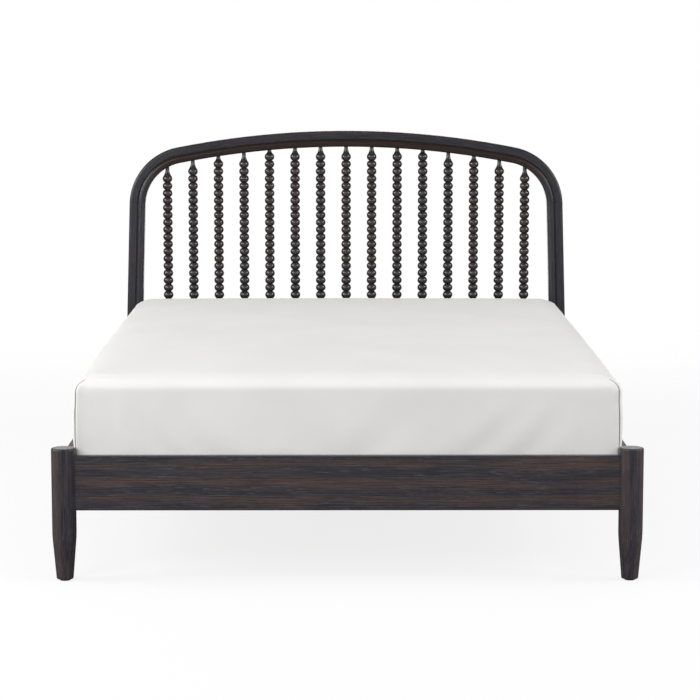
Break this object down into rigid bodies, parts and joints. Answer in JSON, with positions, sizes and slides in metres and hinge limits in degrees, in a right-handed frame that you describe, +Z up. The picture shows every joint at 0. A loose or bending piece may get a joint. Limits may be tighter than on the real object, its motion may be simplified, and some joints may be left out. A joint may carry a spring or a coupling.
{
  "type": "platform bed",
  "caption": "Dark stained wooden platform bed with an arched bobbin-spindle headboard, round tapered footboard posts, a slatted deck and a lift-off mattress in a white fitted sheet.",
  "frame": {"origin": "on the floor, at the middle of the bed's footprint", "axes": "+Z up, +Y from the footboard towards the headboard, +X to the right seen from the foot"},
  "size_m": [1.6406, 2.134, 1.1684],
  "materials": {
    "stained_wood": "satin",
    "raw_wood": "matte",
    "zinc_steel": "satin",
    "black_steel": "satin",
    "black_plastic": "matte",
    "webbing": "matte",
    "mattress_ticking": "matte",
    "white_cotton": "matte"
  },
  "bodies": {
    "frame": {"headboard_crest_rail": "stained_wood", "headboard_left_corner": "stained_wood", "headboard_right_corner": "stained_wood", "headboard_left_post": "stained_wood", "headboard_right_post": "stained_wood", "spindle_01": "stained_wood", "spindle_02": "stained_wood", "spindle_03": "stained_wood", "spindle_04": "stained_wood", "spindle_05": "stained_wood", "spindle_06": "stained_wood", "spindle_07": "stained_wood", "spindle_08": "stained_wood", "spindle_09": "stained_wood", "spindle_10": "stained_wood", "spindle_11": "stained_wood", "spindle_12": "stained_wood", "spindle_13": "stained_wood", "spindle_14": "stained_wood", "spindle_15": "stained_wood", "headboard_spindle_rail": "stained_wood", "headboard_base_rail": "stained_wood", "footboard_left_post": "stained_wood", "footboard_right_post": "stained_wood", "footboard_rail": "stained_wood", "side_rail_left": "stained_wood", "side_rail_right": "stained_wood", "centre_leg_middle": "stained_wood", "centre_leg_rear": "stained_wood", "joint_dowels": "raw_wood", "ledger_cleat_left": "raw_wood", "ledger_cleat_right": "raw_wood", "centre_beam": "raw_wood", "slat_01": "raw_wood", "slat_02": "raw_wood", "slat_03": "raw_wood", "slat_04": "raw_wood", "slat_05": "raw_wood", "slat_06": "raw_wood", "slat_07": "raw_wood", "slat_08": "raw_wood", "slat_09": "raw_wood", "slat_10": "raw_wood", "slat_11": "raw_wood", "slat_12": "raw_wood", "rail_hook_plates": "zinc_steel", "post_receiver_plates": "zinc_steel", "wood_screws": "zinc_steel", "hanger_screws": "zinc_steel", "leg_hanger_bolts": "zinc_steel", "leveller_inserts": "zinc_steel", "beam_hangers": "black_steel", "foot_glides": "black_plastic", "slat_straps": "webbing"},
    "mattress": {"mattress": "mattress_ticking", "fitted_sheet": "white_cotton"},
    "leveller_middle_pad": {"leveller_pad_middle": "black_plastic"},
    "leveller_middle_stud": {"leveller_stud_middle": "zinc_steel"},
    "leveller_rear_pad": {"leveller_pad_rear": "black_plastic"},
    "leveller_rear_stud": {"leveller_stud_rear": "zinc_steel"}
  },
  "joints": [
    {"name": "mattress_lift", "type": "slide", "parent": "frame", "child": "mattress", "axis": [0, 0, 1], "range_m": [0, 0.9]},
    {"name": "leveller_middle_rise", "type": "slide", "parent": "frame", "child": "leveller_middle_pad", "axis": [0, 0, 1], "range_m": [-0.0151, 0.0121]},
    {"name": "leveller_middle_turn", "type": "hinge", "parent": "leveller_middle_pad", "child": "leveller_middle_stud", "pos_m": [0, 0, 0.037], "axis": [0, 0, 1], "range_deg": [-4320, 3456]},
    {"name": "leveller_rear_rise", "type": "slide", "parent": "frame", "child": "leveller_rear_pad", "axis": [0, 0, 1], "range_m": [-0.0151, 0.0121]},
    {"name": "leveller_rear_turn", "type": "hinge", "parent": "leveller_rear_pad", "child": "leveller_rear_stud", "pos_m": [0, 0.52, 0.037], "axis": [0, 0, 1], "range_deg": [-4320, 3456]}
  ],
  "couplings": [
    {"joint": "leveller_middle_rise", "follows": "leveller_middle_turn", "m_per_rad": 0.00019894},
    {"joint": "leveller_rear_rise", "follows": "leveller_rear_turn", "m_per_rad": 0.00019894}
  ]
}
